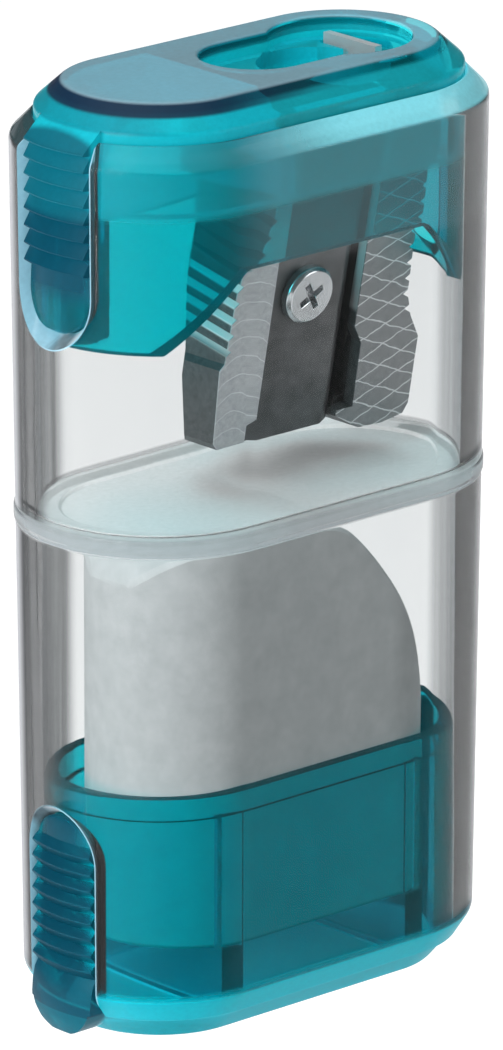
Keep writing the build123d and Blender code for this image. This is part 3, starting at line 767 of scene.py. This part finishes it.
smooth_by_angle(holder, degrees=30)
place(holder, "eraser_unit", "teal_plastic", teal_plastic, "eraser_holder")

# ------------------------------------------------------------------ metal and rubber
body = from_cad("sharpener_body", "wedge_body", 0.08)
place(body, "cap_unit", "sharpener_metal", alloy, "sharpener_body")
blade = from_cad("blade", "blade_plate", 0.03)
place(blade, "cap_unit", "blade_steel", steel, "blade")
screw = from_cad("blade_screw", "blade_screw_head", 0.05)
place(screw, "screw", "screw_steel", plated, "blade_screw")
rubber_block = from_cad("eraser", "eraser_block", 0.5)
place(rubber_block, "eraser_unit", "eraser_rubber", rubber, "eraser")


# ------------------------------------------------------------------ stage
def stage_plane(name, corners, colour, emit):
    """Flat piece of scenery that glows a little, like the white table behind a cut-out photo."""
    mesh = bpy.data.meshes.new(name)
    mesh.from_pydata([Vector(c) for c in corners], [], [(0, 1, 2, 3)])
    obj = link(mesh, name)
    n = Nodes(name + "_mat")
    b = n.add("ShaderNodeBsdfPrincipled")
    b.inputs["Base Color"].default_value = (*colour, 1.0)
    b.inputs["Roughness"].default_value = 0.8
    b.inputs["Specular IOR Level"].default_value = 0.1
    b.inputs["Emission Color"].default_value = (1.0, 1.0, 1.0, 1.0)
    b.inputs["Emission Strength"].default_value = emit
    n.link(b.outputs[0], n.out.inputs["Surface"])
    obj.data.materials.append(n.mat)


# the floor (in m) lies just under the eraser holder at its full travel, so that it shows when
# it is pulled; at rest the part hangs that far above it
FLOOR_Z, NEAR, FAR = -0.0345, -0.6, 0.9
stage_plane("floor", [(NEAR, NEAR, FLOOR_Z), (FAR, NEAR, FLOOR_Z), (FAR, FAR, FLOOR_Z),
                      (NEAR, FAR, FLOOR_Z)], (0.50, 0.50, 0.50), 0.65)

# ------------------------------------------------------------------ camera
# worked out from the photo: it looks from the front left and above, at the point (0, 0, AIM_Z)
# moved by SHIFT_RIGHT and SHIFT_UP in the picture
AZ, EL = math.radians(42.02), math.radians(17.91)
ROLL = math.radians(0.077)
DISTANCE, SHIFT_RIGHT, SHIFT_UP, AIM_Z = 665.4, -0.087, 5.656, 38.032
SENSOR, LENS = 36.0, 341.52
forward = Vector((math.sin(AZ) * math.cos(EL), math.cos(AZ) * math.cos(EL), -math.sin(EL)))
right = Vector((math.cos(AZ), -math.sin(AZ), 0.0))
up = right.cross(forward)
origin = -forward * DISTANCE - right * SHIFT_RIGHT - up * SHIFT_UP + Vector((0, 0, AIM_Z))
cam_data = bpy.data.cameras.new("camera")
cam = bpy.data.objects.new("camera", cam_data)
bpy.context.scene.collection.objects.link(cam)
cam.location = origin * MM
rot = Matrix((right, up, -forward)).transposed()
cam.rotation_euler = (rot @ Matrix.Rotation(ROLL, 3, "Z")).to_euler()
cam_data.sensor_width = SENSOR
cam_data.lens = LENS
cam_data.clip_start, cam_data.clip_end = 0.05, 5.0
bpy.context.scene.camera = cam


# ------------------------------------------------------------------ light
def lamp(name, location, target, size, power):
    """Rectangular lamp of some watts that looks at target (m)."""
    data = bpy.data.lights.new(name, "AREA")
    data.shape = "RECTANGLE"
    data.size, data.size_y = size
    data.energy = power
    obj = bpy.data.objects.new(name, data)
    bpy.context.scene.collection.objects.link(obj)
    obj.location = location
    way = Vector(target) - Vector(location)
    obj.rotation_euler = way.to_track_quat("-Z", "Y").to_euler()


lamp("key", (-0.50, -0.06, 0.26), target=(0, 0, 0.035), size=(0.30, 0.40), power=4.2)
lamp("fill", (0.30, -0.52, 0.24), target=(0, 0, 0.035), size=(0.30, 0.30), power=1.5)
lamp("top", (0.05, 0.15, 0.65), target=(0, 0, 0.03), size=(0.60, 0.60), power=2.9)

world = bpy.data.worlds.new("studio")
bpy.context.scene.world = world
world.use_nodes = True
background = world.node_tree.nodes["Background"]
background.inputs["Color"].default_value = (0.75, 0.76, 0.77, 1.0)
background.inputs["Strength"].default_value = 0.18

view = bpy.context.scene.view_settings
view.view_transform = "Standard"
view.look = "None"
# enough bounces to see through all the walls of the case, the cap and the holder
paths = bpy.context.scene.cycles
paths.max_bounces = 32
paths.transmission_bounces = 24
paths.transparent_max_bounces = 32
paths.glossy_bounces = 8
paths.caustics_reflective = False
paths.caustics_refractive = False
